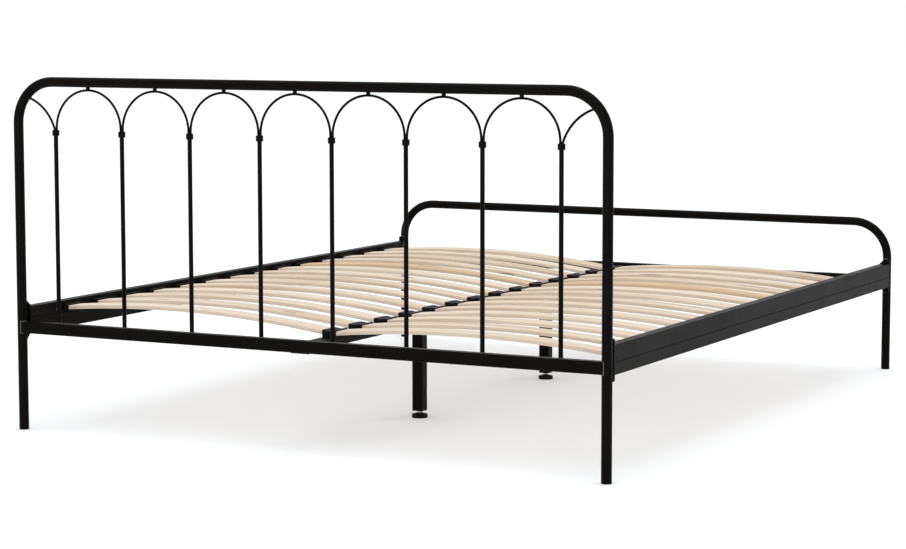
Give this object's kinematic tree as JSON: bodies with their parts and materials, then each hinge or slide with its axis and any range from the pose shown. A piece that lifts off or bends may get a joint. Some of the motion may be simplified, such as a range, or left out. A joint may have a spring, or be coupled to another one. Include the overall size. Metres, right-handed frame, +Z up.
{
  "type": "metal bed frame",
  "caption": "Double bed frame of bent black steel tube: headboard of round rods and wire arches, low open footboard, box-section side rails, sprung birch slats over a centre beam.",
  "frame": {"origin": "on the floor, under the middle of the bed", "axes": "+Z up, +Y from the headboard to the foot, +X to the right as seen by someone who stands behind the headboard and looks over it"},
  "size_m": [1.659, 2.075, 0.9035],
  "materials": {
    "black_powder_coat": "satin black powder coat",
    "birch_plywood": "sanded, unlacquered birch veneer",
    "black_plastic": "moulded, fine matt grain",
    "zinc_steel": "zinc plated"
  },
  "bodies": {
    "frame": {"arch_studs": "black_powder_coat", "beam_bolts": "zinc_steel", "beam_hangers": "black_powder_coat", "centre_beam": "black_powder_coat", "centre_leg_1": "black_powder_coat", "centre_leg_2": "black_powder_coat", "centre_leg_plugs": "black_plastic", "corner_plate_foot_left": "black_powder_coat", "corner_plate_foot_right": "black_powder_coat", "corner_plate_head_left": "black_powder_coat", "corner_plate_head_right": "black_powder_coat", "footboard_rail": "black_powder_coat", "footboard_tube": "black_powder_coat", "headboard_arch_1": "black_powder_coat", "headboard_arch_2": "black_powder_coat", "headboard_arch_3": "black_powder_coat", "headboard_arch_4": "black_powder_coat", "headboard_arch_5": "black_powder_coat", "headboard_arch_6": "black_powder_coat", "headboard_arch_7": "black_powder_coat", "headboard_end_arches": "black_powder_coat", "headboard_rail": "black_powder_coat", "headboard_rod_1": "black_powder_coat", "headboard_rod_2": "black_powder_coat", "headboard_rod_3": "black_powder_coat", "headboard_rod_4": "black_powder_coat", "headboard_rod_5": "black_powder_coat", "headboard_rod_6": "black_powder_coat", "headboard_rod_7": "black_powder_coat", "headboard_rod_8": "black_powder_coat", "headboard_tube": "black_powder_coat", "post_foot_caps": "black_plastic", "rail_end_plates": "black_powder_coat", "rail_hook_studs": "zinc_steel", "rod_collars": "black_powder_coat", "side_rail_left_lower": "black_powder_coat", "side_rail_left_upper": "black_powder_coat", "side_rail_right_lower": "black_powder_coat", "side_rail_right_upper": "black_powder_coat", "slat_holders_centre": "black_plastic", "slat_holders_left": "black_plastic", "slat_holders_right": "black_plastic", "slat_row_01": "birch_plywood", "slat_row_02": "birch_plywood", "slat_row_03": "birch_plywood", "slat_row_04": "birch_plywood", "slat_row_05": "birch_plywood", "slat_row_06": "birch_plywood", "slat_row_07": "birch_plywood", "slat_row_08": "birch_plywood", "slat_row_09": "birch_plywood", "slat_row_10": "birch_plywood", "slat_row_11": "birch_plywood", "slat_row_12": "birch_plywood", "slat_row_13": "birch_plywood", "slat_row_14": "birch_plywood"},
    "levelling_screw_1": {"levelling_stud_1": "zinc_steel"},
    "levelling_foot_1": {"levelling_pad_1": "black_plastic"},
    "levelling_screw_2": {"levelling_stud_2": "zinc_steel"},
    "levelling_foot_2": {"levelling_pad_2": "black_plastic"}
  },
  "joints": [
    {"name": "screw_height_1", "type": "slide", "parent": "frame", "child": "levelling_screw_1", "axis": [0, 0, 1], "range_m": [-0.00901, 0.00451]},
    {"name": "foot_turn_1", "type": "hinge", "parent": "levelling_screw_1", "child": "levelling_foot_1", "pos_m": [0, -0.398, 0], "axis": [0, 0, 1], "range_deg": [-2160, 1080]},
    {"name": "screw_height_2", "type": "slide", "parent": "frame", "child": "levelling_screw_2", "axis": [0, 0, 1], "range_m": [-0.00901, 0.00451]},
    {"name": "foot_turn_2", "type": "hinge", "parent": "levelling_screw_2", "child": "levelling_foot_2", "pos_m": [0, 0.379, 0], "axis": [0, 0, 1], "range_deg": [-2160, 1080]}
  ],
  "couplings": [
    {"joint": "screw_height_1", "follows": "foot_turn_1", "m_per_rad": 0.00023873},
    {"joint": "screw_height_2", "follows": "foot_turn_2", "m_per_rad": 0.00023873}
  ]
}
